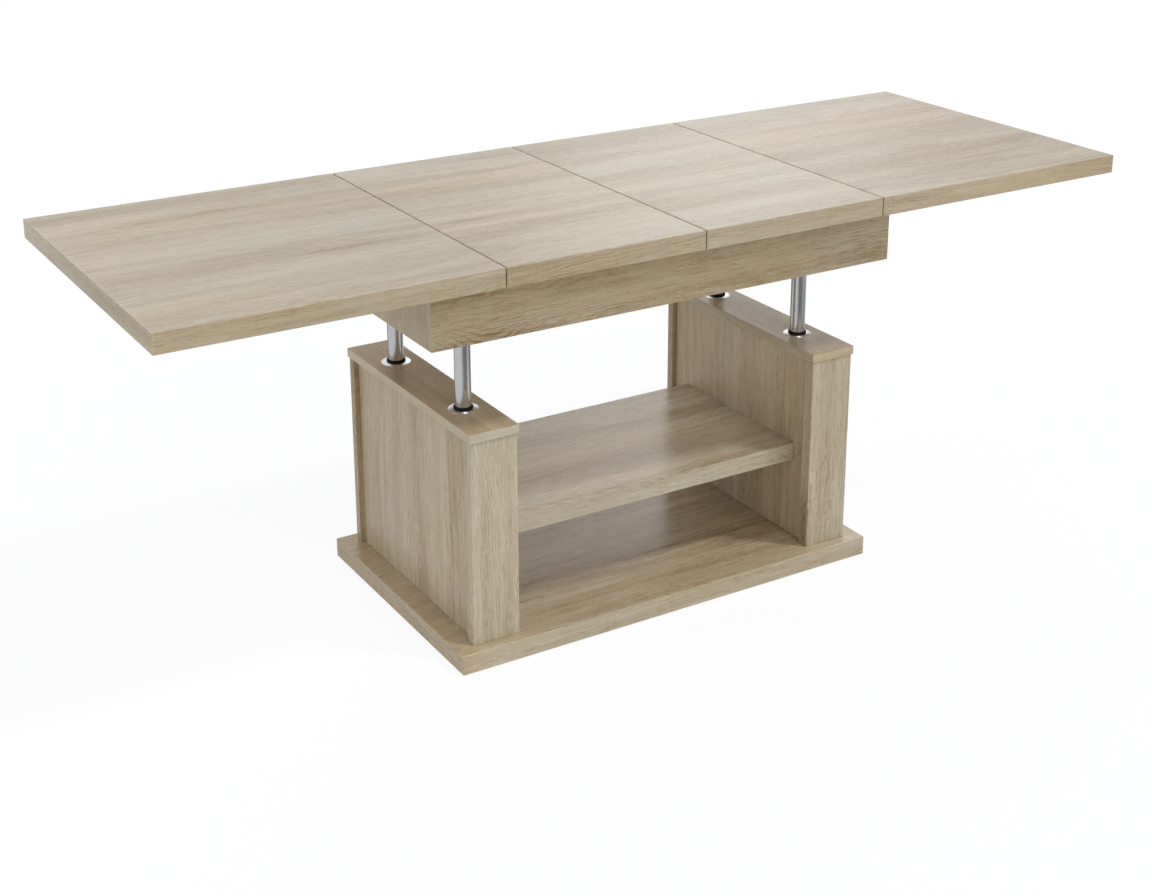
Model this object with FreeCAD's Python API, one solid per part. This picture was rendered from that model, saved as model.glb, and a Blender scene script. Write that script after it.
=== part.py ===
import FreeCAD, Part
import math
import os

# Convertible coffee and dining table, raised and fully extended.
# Millimetres. +Z is up, +X runs along the table, -Y is the front.
# The origin lies on the floor under the middle of the table.

os.makedirs("parts", exist_ok=True)
Vector = FreeCAD.Vector
UP = Vector(0, 0, 1)

# Table top
top_width = 700.0
top_thickness = 36.0
outer_length = 600.0
insert_length = 400.0
seam = 2.0
edge_radius = 1.2

# Apron box under the top
apron_lap = 96.0
apron_height = 124.0
apron_thickness = 18.0
apron_overhang = 8.0
floor_thickness = 12.0
floor_raise = 6.0
groove_depth = 6.0
corner_block_size = 30.0
corner_block_height = 60.0

# Lift tubes and their guides
tube_diameter = 30.0
tube_wall = 1.5
tube_inset_x = 120.0
tube_inset_y = 113.0
tube_tail = 30.0
lift_travel = 160.0
landing_gap = 1.7
end_room = 10.0
bush_wall = 1.5
bush_length = 40.0
collar_band = 1.5
collar_height = 6.0
lower_flange_height = 3.0
rosette_band = 10.0
rosette_height = 4.0
rosette_rim = 0.8
flange_band = 23.0
flange_thickness = 4.5
flange_screw_count = 3

# Gas springs inside the tubes
spring_rod_diameter = 8.0
spring_bore = 18.0
spring_wall = 2.0
gland_height = 12.0
piston_height = 12.0
spring_spare = 26.0
spring_head = 10.0
stud_length = 16.0
plug_height = 20.0
spring_inset = 14.0
foot_diameter = 34.0
foot_height = 6.0
foot_bolt_rise = 2.0

# Pillars
pillar_depth = 502.0
pillar_board_height = 394.0
front_board_thickness = 25.0
back_board_thickness = 18.0
side_thickness = 16.0
side_recess = 10.0
column_room = 6.0
cap_thickness = 18.0
cap_overhang = 3.0
guide_board_thickness = 18.0

# Base plate and shelf
base_thickness = 38.0
base_margin_x = 35.0
base_margin_y = 24.0
glide_diameter = 24.0
glide_height = 2.0
glide_inset = 30.0
shelf_depth = 378.0
shelf_thickness = 36.0
lower_bay_height = 165.0

# Rails of the outer panels and the channels that they run in
rail_foot_width = 26.0
rail_stem_width = 10.0
rail_end_inset = 80.0
rail_engagement = 318.0
rail_slot_width = 7.0
rail_slot_depth = 7.0
rail_slot_end_wall = 15.0
channel_height = 23.0
channel_wall = 2.5
channel_drop = 1.0
pull_out = 40.0
rail_screw_count = 4
rail_screw_edge = 25.0

# Clearances
slide_gap = 0.3
rail_gap = 0.5
notch_gap = 1.0
running_gap = 0.05
fit_gap = 0.05
peg_gap = 0.3
groove_gap = 0.1
hole_spare = 1.0

# Fasteners
dowel_diameter = 8.0
dowel_length = 30.0
dowel_seat = 10.0
dowel_inset = 25.0
peg_length = 16.0
peg_seat = 10.0
peg_inset_x = 80.0
confirmat_head = 10.0
confirmat_head_height = 4.0
confirmat_shank = 5.0
confirmat_bite = 30.0
foot_bolt_head = 14.0
foot_bolt_head_height = 6.0
small_head = 8.0
small_head_height = 2.5
small_shank = 4.0
flange_screw_bite = 8.0
channel_screw_head = 7.0
channel_screw_head_height = 2.0
channel_screw_bite = 12.0
block_screw_bite = 10.0
block_screw_offset = 8.0
rail_screw_head = 10.0
rail_screw_head_height = 5.0
rail_screw_shank = 5.0
rail_screw_bite = 22.0
stop_head = 10.0
stop_head_height = 3.0
stop_shank = 6.0
stop_rise = 5.0
cam_diameter = 15.0
cam_height = 13.0
cam_inset = 24.0
cam_bolt_diameter = 6.0
cam_bolt_level = 8.0
shelf_dowel_inset = 40.0
shelf_cam_inset = 80.0

# Levels, from the floor up
base_bottom = glide_height
base_top = base_bottom + base_thickness
cap_underside = base_top + pillar_board_height
cap_top = cap_underside + cap_thickness
apron_bottom = cap_top + collar_height + landing_gap + lift_travel
apron_top = apron_bottom + apron_height
top_underside = apron_top + slide_gap
table_height = top_underside + top_thickness
floor_bottom = apron_bottom + floor_raise
floor_top = floor_bottom + floor_thickness
shelf_bottom = base_top + lower_bay_height
shelf_top = shelf_bottom + shelf_thickness
foot_top = base_top + foot_height
tube_bottom = foot_top + end_room + lift_travel
guide_bottom = tube_bottom + tube_tail
guide_top = guide_bottom + guide_board_thickness
channel_top = apron_top - channel_drop
channel_bottom = channel_top - channel_height

# Lengths and widths that follow from the driving sizes
apron_length = 2 * insert_length + 2 * apron_lap
apron_width = pillar_depth + 2 * apron_overhang
apron_inner_x = apron_length / 2 - apron_thickness
apron_inner_y = apron_width / 2 - apron_thickness
tube_x = apron_length / 2 - tube_inset_x
tube_y = pillar_depth / 2 - tube_inset_y
column_space = tube_diameter + 2 * column_room
pillar_width = column_space + 2 * side_thickness + 2 * side_recess
base_length = 2 * tube_x + pillar_width + 2 * base_margin_x
base_width = pillar_depth + 2 * base_margin_y
front_inner_y = -pillar_depth / 2 + front_board_thickness
back_inner_y = pillar_depth / 2 - back_board_thickness
shelf_length = 2 * tube_x - pillar_width + 2 * side_recess
bush_diameter = tube_diameter + 2 * running_gap + 2 * bush_wall
collar_diameter = bush_diameter + 2 * collar_band
tube_places = [(sx * tube_x, sy * tube_y) for sx in (-1, 1) for sy in (-1, 1)]


def block(x, y, z):
    """Plain box between the two values of each of x, y and z."""
    return Part.makeBox(x[1] - x[0], y[1] - y[0], z[1] - z[0], Vector(x[0], y[0], z[0]))


def board(x, y, z):
    """Laminated board: a box with its edges eased."""
    shape = block(x, y, z)
    thinnest = min(x[1] - x[0], y[1] - y[0], z[1] - z[0])
    return shape.makeFillet(min(edge_radius, thinnest / 4), shape.Edges)


def around(middle, width):
    """The two values that lie half a width either side of a middle."""
    return (middle - width / 2, middle + width / 2)


def sided(side, inner, outer):
    """A span from inner to outer on the left (side -1) or the right (side 1), low value first."""
    return tuple(sorted((side * inner, side * outer)))


def turned(profile):
    """Solid of revolution about Z from a closed outline of (radius, height) points."""
    points = [Vector(radius, 0, height) for radius, height in profile]
    wire = Part.makePolygon(points + points[:1])
    return Part.Face(wire).revolve(Vector(), UP, 360)


def ring(inner_diameter, outer_diameter, height):
    """Plain round ring standing on its end."""
    inner = inner_diameter / 2
    outer = outer_diameter / 2
    return turned([(inner, 0), (outer, 0), (outer, height), (inner, height)])


def placed(shape, position, direction=UP):
    """A copy with its own +Z turned to a direction and its origin moved to a position."""
    copy = shape.copy()
    copy.Placement = FreeCAD.Placement(position, FreeCAD.Rotation(UP, direction))
    return copy


def screw(head, head_height, shank, length, grow=0.0):
    """Screw standing on its head; grow widens it into the hole that it needs."""
    wide = head / 2 + grow
    thin = shank / 2 + grow
    tip = length + (hole_spare if grow else 0.0)
    return turned([(0, 0), (wide, 0), (wide, head_height), (thin, head_height), (thin, tip), (0, tip)])


def dowel(diameter, length, grow=0.0):
    """Dowel centred on its own origin; grow makes the hole that it needs."""
    half = length / 2 + (hole_spare if grow else 0.0)
    radius = diameter / 2 + grow
    return turned([(0, -half), (radius, -half), (radius, half), (0, half)])


def half_turned(shape):
    """The same piece turned half round about the table's vertical axis."""
    return shape.rotated(Vector(), UP, 180)


def cut(shape, tools):
    """One solid less the tools."""
    return shape.cut(tools).Solids[0]


def save(name, *solids):
    shape = solids[0] if len(solids) == 1 else Part.makeCompound(solids)
    shape.exportStep("parts/" + name + ".step")


def at_all(shape, places):
    """Copies of a shape at each (position, direction) place."""
    return [placed(shape, position, direction) for position, direction in places]


# Fasteners of the base: places as (position, direction)
confirmat_length = base_thickness + confirmat_bite
confirmat_size = (confirmat_head, confirmat_head_height, confirmat_shank, confirmat_length)
foot_bolt_length = base_thickness + foot_bolt_rise
foot_bolt_size = (foot_bolt_head, foot_bolt_head_height, spring_rod_diameter, foot_bolt_length)
front_board_y = (-pillar_depth / 2 + front_inner_y) / 2
back_board_y = (pillar_depth / 2 + back_inner_y) / 2
side_board_x = column_space / 2 + side_thickness / 2
board_fixing_x = pillar_width / 2 - dowel_inset
upright_places = []
cap_dowel_places = []
for side in (-1, 1):
    for shift in (-1, 1):
        x = side * tube_x + shift * board_fixing_x
        for y in (front_board_y, back_board_y):
            upright_places.append((Vector(x, y, base_bottom), UP))
            cap_dowel_places.append((Vector(x, y, cap_underside + dowel_seat - dowel_length / 2), UP))
        for y in (-tube_y / 2, tube_y / 2):
            x = side * tube_x + shift * side_board_x
            upright_places.append((Vector(x, y, base_bottom), UP))
foot_bolt_places = [(Vector(x, y, base_bottom), UP) for x, y in tube_places]
upright_holes = at_all(screw(*confirmat_size, grow=fit_gap), upright_places)
cap_dowel_holes = at_all(dowel(dowel_diameter, dowel_length, grow=fit_gap), cap_dowel_places)
foot_bolt_holes = at_all(screw(*foot_bolt_size, grow=fit_gap), foot_bolt_places)

# Fasteners of the shelf
shelf_dowel_places = []
cam_bolt_places = []
cam_places = []
for side in (-1, 1):
    outward = Vector(side, 0, 0)
    end_x = side * shelf_length / 2
    for front in (-1, 1):
        dowel_y = front * (shelf_depth / 2 - shelf_dowel_inset)
        cam_y = front * (shelf_depth / 2 - shelf_cam_inset)
        dowel_x = end_x + side * (dowel_seat - dowel_length / 2)
        bolt_x = end_x + side * (dowel_seat - cam_inset) / 2
        shelf_dowel_places.append((Vector(dowel_x, dowel_y, shelf_bottom + shelf_thickness / 2), outward))
        cam_bolt_places.append((Vector(bolt_x, cam_y, shelf_bottom + cam_bolt_level), outward))
        cam_places.append((Vector(end_x - side * cam_inset, cam_y, shelf_bottom + cam_height / 2), UP))
cam_bolt_length = cam_inset + dowel_seat
shelf_dowel_holes = at_all(dowel(dowel_diameter, dowel_length, grow=fit_gap), shelf_dowel_places)
cam_bolt_holes = at_all(dowel(cam_bolt_diameter, cam_bolt_length, grow=fit_gap), cam_bolt_places)
cam_holes = at_all(dowel(cam_diameter, cam_height, grow=fit_gap), cam_places)

# Base plate on its glides
base_plate = board(around(0, base_length), around(0, base_width), (base_bottom, base_top))
save("base_plate", cut(base_plate, upright_holes + foot_bolt_holes))
glide = ring(0, glide_diameter, glide_height)
glide_x = base_length / 2 - glide_inset
glide_y = base_width / 2 - glide_inset
glide_places = [(Vector(x, y, 0), UP) for x in (-glide_x, 0, glide_x) for y in (-glide_y, glide_y)]
save("floor_glides", *at_all(glide, glide_places))

# Shelf between the two pillars
shelf = board(around(0, shelf_length), around(0, shelf_depth), (shelf_bottom, shelf_top))
save("shelf", cut(shelf, shelf_dowel_holes + cam_bolt_holes + cam_holes))

# Hollow pillars: front and back boards, two set-back sides, a guide board inside and a cap
upright = (base_top, cap_underside)
side_depth = (front_inner_y, back_inner_y)
cap_hole = ring(0, bush_diameter + 2 * fit_gap, cap_thickness)
guide_hole = ring(0, bush_diameter + 2 * fit_gap, guide_board_thickness)
for side, name in ((-1, "left"), (1, "right")):
    middle = side * tube_x
    across = around(middle, pillar_width)
    front = board(across, (-pillar_depth / 2, front_inner_y), upright)
    save(name + "_pillar_front_board", cut(front, upright_holes + cap_dowel_holes))
    back = board(across, (back_inner_y, pillar_depth / 2), upright)
    save(name + "_pillar_back_board", cut(back, upright_holes + cap_dowel_holes))
    near = tube_x - column_space / 2
    far = tube_x + column_space / 2
    inner = board(sided(side, near - side_thickness, near), side_depth, upright)
    save(name + "_pillar_inner_side", cut(inner, upright_holes + shelf_dowel_holes + cam_bolt_holes))
    outer = board(sided(side, far, far + side_thickness), side_depth, upright)
    save(name + "_pillar_outer_side", cut(outer, upright_holes))
    cap_x = around(middle, pillar_width + 2 * cap_overhang)
    cap_y = around(0, pillar_depth + 2 * cap_overhang)
    cap = board(cap_x, cap_y, (cap_underside, cap_top))
    bush_holes = [placed(cap_hole, Vector(middle, y, cap_underside)) for y in (-tube_y, tube_y)]
    save(name + "_pillar_cap", cut(cap, cap_dowel_holes + bush_holes))
    guide = block(around(middle, column_space), side_depth, (guide_bottom, guide_top))
    guide_holes = [placed(guide_hole, Vector(middle, y, guide_bottom)) for y in (-tube_y, tube_y)]
    save(name + "_guide_board", cut(guide, guide_holes))

save("pillar_base_screws", *at_all(screw(*confirmat_size), upright_places))
save("cap_dowels", *at_all(dowel(dowel_diameter, dowel_length), cap_dowel_places))
save("shelf_dowels", *at_all(dowel(dowel_diameter, dowel_length), shelf_dowel_places))
save("shelf_cam_bolts", *at_all(dowel(cam_bolt_diameter, cam_bolt_length), cam_bolt_places))
cams = at_all(dowel(cam_diameter, cam_height), cam_places)
save("shelf_cams", *[cut(cam, cam_bolt_holes) for cam in cams])

# Guide bushes: the upper ones end in the black collars that show on the caps
bore = tube_diameter / 2 + running_gap
body = bush_diameter / 2
collar = collar_diameter / 2
upper_bush = turned([
    (bore, -bush_length), (body, -bush_length), (body, 0), (collar, 0),
    (collar, collar_height - collar_band / 2), (collar - collar_band / 2, collar_height),
    (bore, collar_height),
])
save("upper_guide_bushes", *[placed(upper_bush, Vector(x, y, cap_top)) for x, y in tube_places])
lower_bush = turned([
    (bore, -guide_board_thickness), (body, -guide_board_thickness), (body, 0), (collar, 0),
    (collar, lower_flange_height), (bore, lower_flange_height),
])
save("lower_guide_bushes", *[placed(lower_bush, Vector(x, y, guide_top)) for x, y in tube_places])


def rosette_ring():
    """Bright ring that lies on the cap round a collar, its top falling in an arc to a thin rim."""
    inner = collar + running_gap
    outer = inner + rosette_band
    shoulder = inner + rosette_band / 4
    middle = (shoulder + outer) / 2
    crown = (rosette_height + rosette_rim) / 2 + rosette_rim
    crest = Vector(shoulder, 0, rosette_height)
    rim = Vector(outer, 0, rosette_rim)
    arc = Part.Arc(crest, Vector(middle, 0, crown), rim)
    edges = [
        Part.LineSegment(Vector(inner, 0, 0), Vector(inner, 0, rosette_height)).toShape(),
        Part.LineSegment(Vector(inner, 0, rosette_height), crest).toShape(),
        arc.toShape(),
        Part.LineSegment(rim, Vector(outer, 0, 0)).toShape(),
        Part.LineSegment(Vector(outer, 0, 0), Vector(inner, 0, 0)).toShape(),
    ]
    return Part.Face(Part.Wire(edges)).revolve(Vector(), UP, 360)


rosette = rosette_ring()
save("rosettes", *[placed(rosette, Vector(x, y, cap_top)) for x, y in tube_places])

# Gas springs: a rod and piston that stand on the base, in a cylinder that rises with each tube
rod = spring_rod_diameter / 2
rod_bottom = base_top + foot_bolt_rise
cylinder_bottom = tube_bottom + spring_inset
piston_bottom = cylinder_bottom + gland_height + hole_spare
piston_top = piston_bottom + piston_height
piston = spring_bore / 2 - running_gap
rod_profile = [(0, rod_bottom), (rod, rod_bottom), (rod, piston_bottom), (piston, piston_bottom),
               (piston, piston_top), (0, piston_top)]
spring_rod = turned(rod_profile)
save("gas_spring_rods", *[placed(spring_rod, Vector(x, y, 0)) for x, y in tube_places])
foot = ring(spring_rod_diameter + 2 * fit_gap, foot_diameter, foot_height)
save("gas_spring_feet", *[placed(foot, Vector(x, y, base_top)) for x, y in tube_places])
save("spring_foot_bolts", *at_all(screw(*foot_bolt_size), foot_bolt_places))

spring_length = gland_height + piston_height + lift_travel + spring_spare + spring_head
bore_top = spring_length - spring_head
spring_outer = spring_bore / 2 + spring_wall
gland_hole = rod + running_gap
spring_cylinder = turned([
    (gland_hole, 0), (spring_outer, 0), (spring_outer, spring_length), (rod, spring_length),
    (rod, spring_length + stud_length), (0, spring_length + stud_length), (0, bore_top),
    (spring_bore / 2, bore_top), (spring_bore / 2, gland_height), (gland_hole, gland_height),
])
cylinder_places = [(Vector(x, y, cylinder_bottom), UP) for x, y in tube_places]
save("gas_spring_cylinders", *at_all(spring_cylinder, cylinder_places))
tube_bore = tube_diameter - 2 * tube_wall
plug = ring(spring_rod_diameter + 2 * fit_gap, tube_bore - 2 * fit_gap, plug_height)
plug_bottom = cylinder_bottom + spring_length
save("spring_plugs", *[placed(plug, Vector(x, y, plug_bottom)) for x, y in tube_places])

# Lift tubes, each screwed to the box floor through a flange
tube = ring(tube_bore, tube_diameter, floor_bottom - tube_bottom)
tube_names = ["left_front_tube", "left_back_tube", "right_front_tube", "right_back_tube"]
for name, (x, y) in zip(tube_names, tube_places):
    save(name, placed(tube, Vector(x, y, tube_bottom)))
flange_bottom = floor_bottom - flange_thickness
flange_screw_size = (small_head, small_head_height, small_shank, flange_thickness + flange_screw_bite)
flange_screw_radius = tube_diameter / 2 + flange_band / 2
flange_screw_places = []
for x, y in tube_places:
    for step in range(flange_screw_count):
        turn = 2 * math.pi * step / flange_screw_count
        offset = Vector(math.cos(turn), math.sin(turn), 0) * flange_screw_radius
        flange_screw_places.append((Vector(x, y, flange_bottom) + offset, UP))
flange_screw_holes = at_all(screw(*flange_screw_size, grow=fit_gap), flange_screw_places)
flange = ring(tube_diameter + 2 * fit_gap, tube_diameter + 2 * flange_band, flange_thickness)
flanges = [placed(flange, Vector(x, y, flange_bottom)) for x, y in tube_places]
save("tube_flanges", *[cut(piece, flange_screw_holes) for piece in flanges])
save("flange_screws", *at_all(screw(*flange_screw_size), flange_screw_places))

# Rail channels: two slots side by side, open at the top, screwed to the long apron boards
slot_half = rail_foot_width / 2 + rail_gap
mouth_half = rail_stem_width / 2 + rail_gap
slot_pitch = 2 * slot_half + channel_wall
outer_slot = channel_wall + slot_half
inner_slot = outer_slot + slot_pitch
channel_width = inner_slot + slot_half + channel_wall
lip = channel_height - channel_wall
channel_length = 2 * apron_inner_x - 2 * fit_gap
outer_slot_y = apron_inner_y - outer_slot
inner_slot_y = apron_inner_y - inner_slot


def channel_outline():
    """Section as (distance from the board, height) points, its two T-slots cut in from the top."""
    points = [(0, 0), (channel_width, 0), (channel_width, channel_height)]
    for middle in (inner_slot, outer_slot):
        points += [(middle + mouth_half, channel_height), (middle + mouth_half, lip)]
        points += [(middle + slot_half, lip), (middle + slot_half, channel_wall)]
        points += [(middle - slot_half, channel_wall), (middle - slot_half, lip)]
        points += [(middle - mouth_half, lip), (middle - mouth_half, channel_height)]
    return points + [(0, channel_height)]


def along_x(section, start, length):
    """Solid of a (y, z) outline carried along X from a start."""
    points = [Vector(start, y, z) for y, z in section]
    wire = Part.makePolygon(points + points[:1])
    return Part.Face(wire).extrude(Vector(length, 0, 0))


front_section = [(-apron_inner_y + out, channel_bottom + rise) for out, rise in channel_outline()]
front_channel = along_x(front_section, -channel_length / 2, channel_length)
channel_screw_length = channel_wall + channel_screw_bite
channel_screw_size = (channel_screw_head, channel_screw_head_height, small_shank, channel_screw_length)
channel_screw_y = apron_inner_y - channel_wall
channel_screw_level = channel_bottom + channel_height / 2
channel_screw_places = []
for shift in (-1, 0, 1):
    for front in (-1, 1):
        spot = Vector(shift * insert_length, front * channel_screw_y, channel_screw_level)
        channel_screw_places.append((spot, Vector(0, front, 0)))
channel_screw_holes = at_all(screw(*channel_screw_size, grow=fit_gap), channel_screw_places)
save("channel_screws", *at_all(screw(*channel_screw_size), channel_screw_places))

# Rails of the left panel; those of the right panel are the same pieces turned half round
panel_end = insert_length + outer_length
rail_outer_end = -panel_end + rail_end_inset
rail_inner_end = -apron_inner_x + rail_engagement
rail_bottom = channel_bottom + channel_wall + rail_gap
rail_shoulder = channel_top - channel_wall - rail_gap
stop_reach = stop_shank / 2 + rail_gap
stop_x = rail_inner_end - rail_slot_end_wall - pull_out - stop_reach
slot_inner_end = stop_x + pull_out + stop_reach
slot_outer_end = stop_x - insert_length - stop_reach
left_rail_ys = (-outer_slot_y, inner_slot_y)
rail_screw_length = top_underside - rail_bottom + rail_screw_bite
rail_screw_size = (rail_screw_head, rail_screw_head_height, rail_screw_shank, rail_screw_length)
rail_screw_first = rail_outer_end + rail_screw_edge
rail_screw_last = min(slot_outer_end, -apron_length / 2) - rail_screw_edge
rail_screw_step = (rail_screw_last - rail_screw_first) / (rail_screw_count - 1)
rail_screw_places = []
for y in left_rail_ys:
    for step in range(rail_screw_count):
        rail_screw_places.append((Vector(rail_screw_first + step * rail_screw_step, y, rail_bottom), UP))
rail_screw_holes = at_all(screw(*rail_screw_size, grow=fit_gap), rail_screw_places)


def left_rail(y):
    """T-shaped rail: a foot in the channel, a stem up to the panel and a slot for its stop."""
    foot_half = rail_foot_width / 2
    stem_half = rail_stem_width / 2
    section = [
        (y - foot_half, rail_bottom), (y + foot_half, rail_bottom), (y + foot_half, rail_shoulder),
        (y + stem_half, rail_shoulder), (y + stem_half, top_underside), (y - stem_half, top_underside),
        (y - stem_half, rail_shoulder), (y - foot_half, rail_shoulder),
    ]
    rail = along_x(section, rail_outer_end, rail_inner_end - rail_outer_end)
    slot_z = (rail_bottom - hole_spare, rail_bottom + rail_slot_depth)
    slot = block((slot_outer_end, slot_inner_end), around(y, rail_slot_width), slot_z)
    return cut(rail, rail_screw_holes + [slot])


left_rails = [left_rail(y) for y in left_rail_ys]
left_rail_screws = at_all(screw(*rail_screw_size), rail_screw_places)
left_panel_x = (-panel_end, -insert_length - seam / 2)
top_z = (top_underside, table_height)
left_panel = cut(board(left_panel_x, around(0, top_width), top_z), rail_screw_holes)
save("left_top_panel", left_panel)
save("left_rails", *left_rails)
save("left_rail_screws", *left_rail_screws)
save("right_top_panel", half_turned(left_panel))
save("right_rails", *[half_turned(piece) for piece in left_rails])
save("right_rail_screws", *[half_turned(piece) for piece in left_rail_screws])

# Stop screws through the channel floors into the rails' slots
stop_length = stop_head_height + channel_wall + rail_gap + stop_rise
stop_size = (stop_head, stop_head_height, stop_shank, stop_length)
stop_places = [(Vector(stop_x, y, channel_bottom - stop_head_height), UP) for y in left_rail_ys]
stop_holes = at_all(screw(*stop_size, grow=fit_gap), stop_places)
stop_screws = at_all(screw(*stop_size), stop_places)
all_stop_holes = stop_holes + [half_turned(hole) for hole in stop_holes]
save("rail_stop_screws", *stop_screws, *[half_turned(piece) for piece in stop_screws])
save("front_rail_channel", cut(front_channel, channel_screw_holes + all_stop_holes))
save("back_rail_channel", cut(half_turned(front_channel), channel_screw_holes + all_stop_holes))

# Loose inserts, pegged into the top edges of the long apron boards
peg_y = apron_width / 2 - apron_thickness / 2
peg_level = top_underside + peg_seat - peg_length / 2
all_peg_places = []
for side, name in ((-1, "left"), (1, "right")):
    insert_x = sided(side, seam / 2, insert_length - seam / 2)
    peg_xs = (insert_x[0] + peg_inset_x, insert_x[1] - peg_inset_x)
    peg_places = [(Vector(x, y, peg_level), UP) for x in peg_xs for y in (-peg_y, peg_y)]
    peg_seats = at_all(dowel(dowel_diameter, peg_length, grow=fit_gap), peg_places)
    save(name + "_insert_panel", cut(board(insert_x, around(0, top_width), top_z), peg_seats))
    save(name + "_insert_pegs", *at_all(dowel(dowel_diameter, peg_length), peg_places))
    all_peg_places += peg_places

# Apron box: long boards, end boards notched for the rails, a floor in grooves, dowels and corner blocks
apron_z = (apron_bottom, apron_top)
floor_x = around(0, 2 * (apron_inner_x + groove_depth - groove_gap))
floor_y = around(0, 2 * (apron_inner_y + groove_depth - groove_gap))
save("apron_floor", cut(board(floor_x, floor_y, (floor_bottom, floor_top)), flange_screw_holes))
groove_x = around(0, 2 * (apron_inner_x + groove_depth))
groove_y = around(0, 2 * (apron_inner_y + groove_depth))
groove = block(groove_x, groove_y, (floor_bottom - groove_gap, floor_top + groove_gap))
apron_dowel_places = []
block_screw_places = []
corner_blocks = []
block_size = corner_block_size
block_bottom = floor_top + groove_gap
block_top = block_bottom + corner_block_height
block_screw_length = corner_block_size + block_screw_bite
block_screw_size = (small_head, small_head_height, small_shank, block_screw_length)
dowel_levels = (block_bottom + corner_block_height / 4, block_bottom + 3 * corner_block_height / 4)
for sx in (-1, 1):
    for sy in (-1, 1):
        dowel_x = sx * (apron_length / 2 - apron_thickness / 2)
        dowel_y = sy * (apron_inner_y + dowel_seat - dowel_length / 2)
        for level in dowel_levels:
            apron_dowel_places.append((Vector(dowel_x, dowel_y, level), Vector(0, sy, 0)))
        corner_x = sided(sx, apron_inner_x - block_size, apron_inner_x)
        corner_y = sided(sy, apron_inner_y - block_size, apron_inner_y)
        corner_blocks.append(block(corner_x, corner_y, (block_bottom, block_top)))
        middle = (block_bottom + block_top) / 2
        along = Vector(sx * (apron_inner_x - block_size), sy * (apron_inner_y - block_size / 2),
                       middle - block_screw_offset)
        across = Vector(sx * (apron_inner_x - block_size / 2), sy * (apron_inner_y - block_size),
                        middle + block_screw_offset)
        block_screw_places += [(along, Vector(sx, 0, 0)), (across, Vector(0, sy, 0))]
apron_dowel_holes = at_all(dowel(dowel_diameter, dowel_length, grow=fit_gap), apron_dowel_places)
block_screw_holes = at_all(screw(*block_screw_size, grow=fit_gap), block_screw_places)
save("apron_dowels", *at_all(dowel(dowel_diameter, dowel_length), apron_dowel_places))
save("corner_blocks", *[cut(piece, block_screw_holes) for piece in corner_blocks])
save("corner_block_screws", *at_all(screw(*block_screw_size), block_screw_places))

peg_hole = dowel(dowel_diameter, peg_length, grow=peg_gap)
peg_holes = at_all(peg_hole, all_peg_places)
long_holes = [groove] + apron_dowel_holes + block_screw_holes + channel_screw_holes + peg_holes
for front, name in ((-1, "front"), (1, "back")):
    long_board = board(around(0, apron_length), sided(front, apron_inner_y, apron_width / 2), apron_z)
    save("apron_" + name + "_board", cut(long_board, long_holes))

notch_z = (rail_bottom - notch_gap, apron_top + hole_spare)
notches = []
for y in left_rail_ys:
    notch_x = (-apron_length / 2 - hole_spare, -apron_inner_x + hole_spare)
    notch_y = around(y, rail_foot_width + 2 * notch_gap)
    notches.append(block(notch_x, notch_y, notch_z))
left_end = board(sided(-1, apron_inner_x, apron_length / 2), around(0, 2 * apron_inner_y), apron_z)
right_end = half_turned(left_end)
end_holes = [groove] + apron_dowel_holes + block_screw_holes
save("apron_left_end", cut(left_end, end_holes + notches))
save("apron_right_end", cut(right_end, end_holes + [half_turned(notch) for notch in notches]))

print("table", 2 * panel_end, top_width, table_height, "lowered height", table_height - lift_travel)
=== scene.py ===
import math

import bpy
import numpy as np
from mathutils import Matrix, Vector


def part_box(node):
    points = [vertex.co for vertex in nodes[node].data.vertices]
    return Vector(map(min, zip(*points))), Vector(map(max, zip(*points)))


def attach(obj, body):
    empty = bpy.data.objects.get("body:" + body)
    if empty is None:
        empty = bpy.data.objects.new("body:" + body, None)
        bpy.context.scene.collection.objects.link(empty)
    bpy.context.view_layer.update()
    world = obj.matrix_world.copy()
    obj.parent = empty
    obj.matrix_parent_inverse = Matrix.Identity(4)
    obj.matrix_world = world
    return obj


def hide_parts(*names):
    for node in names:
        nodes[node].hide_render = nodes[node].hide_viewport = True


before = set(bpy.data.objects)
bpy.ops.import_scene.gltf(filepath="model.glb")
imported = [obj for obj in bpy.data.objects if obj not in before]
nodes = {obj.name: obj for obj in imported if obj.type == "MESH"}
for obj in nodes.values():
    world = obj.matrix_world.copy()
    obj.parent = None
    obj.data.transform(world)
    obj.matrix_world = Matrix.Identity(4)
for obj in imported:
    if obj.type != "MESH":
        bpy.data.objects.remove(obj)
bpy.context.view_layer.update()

# Base plate: the 38 mm board that the whole table stands on, oak-print laminate on particle board, with
# its four edges covered by strips of the same print. The pillars stand on it and are screwed from below.


def wire(tree, socket, value):
    """Links an output into a socket, or sets a plain value as the socket's own."""
    if isinstance(value, bpy.types.NodeSocket):
        tree.links.new(value, socket)
    else:
        socket.default_value = value


def shade(tree, kind, *values, **settings):
    """Adds a shader node with its settings, fills its inputs in order and gives it back."""
    item = tree.nodes.new("ShaderNode" + kind)
    for key, setting in settings.items():
        setattr(item, key, setting)
    for socket, value in zip(item.inputs, values):
        wire(tree, socket, value)
    return item


def maths(tree, operation, *values):
    """One sum on numbers, such as MULTIPLY of two values or ABSOLUTE of one."""
    return shade(tree, "Math", *values, operation=operation).outputs[0]


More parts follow.
